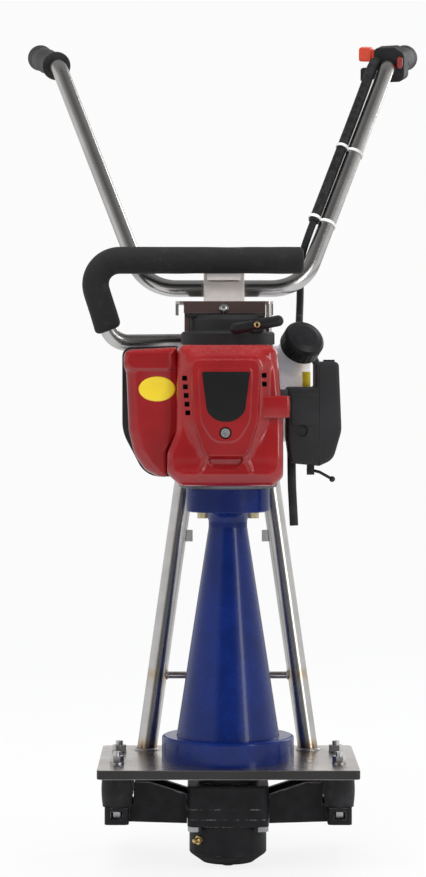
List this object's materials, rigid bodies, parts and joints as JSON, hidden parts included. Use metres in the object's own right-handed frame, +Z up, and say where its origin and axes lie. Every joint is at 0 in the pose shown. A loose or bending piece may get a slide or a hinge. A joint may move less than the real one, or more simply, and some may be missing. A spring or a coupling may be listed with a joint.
{
  "type": "vibrating screed drive unit",
  "caption": "Petrol engine on a tall cone over an exciter, with tube frame, tilting handlebar and lifting handle, for driving a vibrating concrete screed board.",
  "frame": {"origin": "centre of the four board bolts on the seat plane of the clamp bracket", "axes": "+X to the right along the board seen from the front, +Y away from the finished concrete towards the operator, +Z up"},
  "size_m": [0.4786, 0.5279, 0.9367],
  "materials": {
    "black_cast": "satin black paint on casting",
    "rubber": "matte",
    "stainless": "bright",
    "stainless_sheet": "brushed",
    "brass": "bright",
    "steel": "turned",
    "bearing_steel": "ground",
    "spider_rubber": "matte",
    "blue_paint": "gloss enamel over casting",
    "clutch_lining": "matte",
    "yellow_zinc": "zinc plated",
    "polished_tube": "polished stainless with brushed weld tint",
    "block_steel": "satin",
    "foam": "matte foam with fine pores",
    "grip_rubber": "moulded rubber",
    "control_plastic": "fine moulded",
    "orange_plastic": "moulded",
    "latch_plastic": "moulded",
    "button_plastic": "moulded",
    "conduit_plastic": "ribbed",
    "tie_plastic": "moulded",
    "engine_cast": "cast, dark",
    "red_plastic": "gloss moulded",
    "badge_black": "bare dark field",
    "muffler_steel": "heat tinted",
    "black_plastic": "moulded grain",
    "filter_foam": "open foam",
    "tank_plastic": "translucent blow moulded",
    "cap_plastic": "moulded",
    "yellow_plastic": "moulded",
    "hose_rubber": "smooth",
    "reel_plastic": "moulded",
    "rope": "braided"
  },
  "bodies": {
    "frame": {"clamp_bracket": "black_cast", "rubber_mounts": "rubber", "mount_studs": "stainless", "base_plate": "stainless_sheet", "exciter_pot": "black_cast", "grease_nipple": "brass", "drain_plug": "steel", "exciter_head": "black_cast", "exciter_bolts": "steel", "exciter_bearings": "bearing_steel", "cone_housing": "blue_paint", "shaft_bearing": "bearing_steel", "flange_bolts": "yellow_zinc", "tube_frame": "polished_tube", "clamp_block": "block_steel", "clamp_bolts": "stainless", "lift_handle": "polished_tube", "lift_foam": "foam", "conduit_loop": "conduit_plastic", "conduit_lower": "conduit_plastic", "fan_housing": "engine_cast", "crankcase": "engine_cast", "cylinder": "engine_cast", "engine_cover": "red_plastic", "badge_plate": "badge_black", "cover_screw": "stainless", "muffler": "muffler_steel", "muffler_cover": "red_plastic", "muffler_guard": "black_plastic", "carburettor": "engine_cast", "air_cleaner_base": "black_plastic", "air_filter": "filter_foam", "fuel_tank": "tank_plastic", "fuel_fitting": "yellow_plastic", "breather_hose": "hose_rubber", "recoil_housing": "black_plastic", "starter_rope": "rope", "top_bridge": "stainless_sheet"},
    "handle": {"handlebar": "polished_tube", "grip_left": "grip_rubber", "grip_right": "grip_rubber", "throttle_housing": "control_plastic", "conduit_upper": "conduit_plastic", "cable_ties": "tie_plastic"},
    "throttle": {"throttle_lever": "orange_plastic"},
    "latch": {"throttle_latch": "latch_plastic"},
    "button": {"stop_button": "button_plastic"},
    "output": {"drive_shaft": "steel", "clutch_drum": "steel", "coupling_spider": "spider_rubber", "eccentric_rotor": "steel"},
    "crank": {"crankshaft": "steel", "flywheel": "engine_cast", "clutch_shoes": "clutch_lining"},
    "pull": {"starter_grip": "cap_plastic"},
    "reel": {"starter_reel": "reel_plastic"},
    "cap": {"fuel_cap": "cap_plastic"},
    "choke": {"choke_lever": "steel"},
    "air_cover": {"air_cleaner_cover": "black_plastic"}
  },
  "joints": [
    {"name": "handle_tilt", "type": "hinge", "parent": "frame", "child": "handle", "pos_m": [0, 0.037, 0.59], "axis": [1, 0, 0], "range_deg": [-60, 25], "deforming": ["conduit_loop"]},
    {"name": "throttle_press", "type": "hinge", "parent": "handle", "child": "throttle", "pos_m": [0.18235, 0.20555, 0.87429], "axis": [0, -0.2012, 0.9796], "range_deg": [0, 20], "stiffness_Nm_per_rad": 0.25, "springref_deg": -11.46},
    {"name": "latch_press", "type": "hinge", "parent": "handle", "child": "latch", "pos_m": [0.18235, 0.21048, 0.85029], "axis": [0, -0.2012, 0.9796], "range_deg": [0, 12], "stiffness_Nm_per_rad": 0.2, "springref_deg": -11.46},
    {"name": "button_press", "type": "slide", "parent": "handle", "child": "button", "axis": [0.2498, 0.9485, 0.1948], "range_m": [0, 0.0025], "stiffness_N_per_m": 900, "springref_m": -0.001},
    {"name": "shaft_spin", "type": "hinge", "parent": "frame", "child": "output", "pos_m": [0, -0.098, 0.204], "axis": [0, 0, 1], "continuous": true},
    {"name": "crank_spin", "type": "hinge", "parent": "frame", "child": "crank", "pos_m": [0, -0.098, 0.464], "axis": [0, 0, 1], "continuous": true},
    {"name": "starter_pull", "type": "slide", "parent": "frame", "child": "pull", "axis": [0, -1, 0], "range_m": [0, 0.45], "stiffness_N_per_m": 20, "springref_m": -0.2, "deforming": ["starter_rope"]},
    {"name": "reel_turn", "type": "hinge", "parent": "frame", "child": "reel", "pos_m": [0, -0.098, 0.547], "axis": [0, 0, 1], "range_deg": [-860, 0]},
    {"name": "cap_turn", "type": "hinge", "parent": "frame", "child": "cap", "pos_m": [0.073, -0.043, 0.5125], "axis": [0.3228, -0.7667, 0.5549], "range_deg": [0, 360]},
    {"name": "choke_turn", "type": "hinge", "parent": "frame", "child": "choke", "pos_m": [0.088, -0.151, 0.3915], "axis": [0, 1, 0], "range_deg": [0, 45]},
    {"name": "air_cover_swing", "type": "hinge", "parent": "frame", "child": "air_cover", "pos_m": [0.097, -0.128, 0.396], "axis": [0, 1, 0], "range_deg": [0, 50]}
  ],
  "couplings": [
    {"joint": "reel_turn", "follows": "starter_pull", "rad_per_m": -32.787}
  ]
}
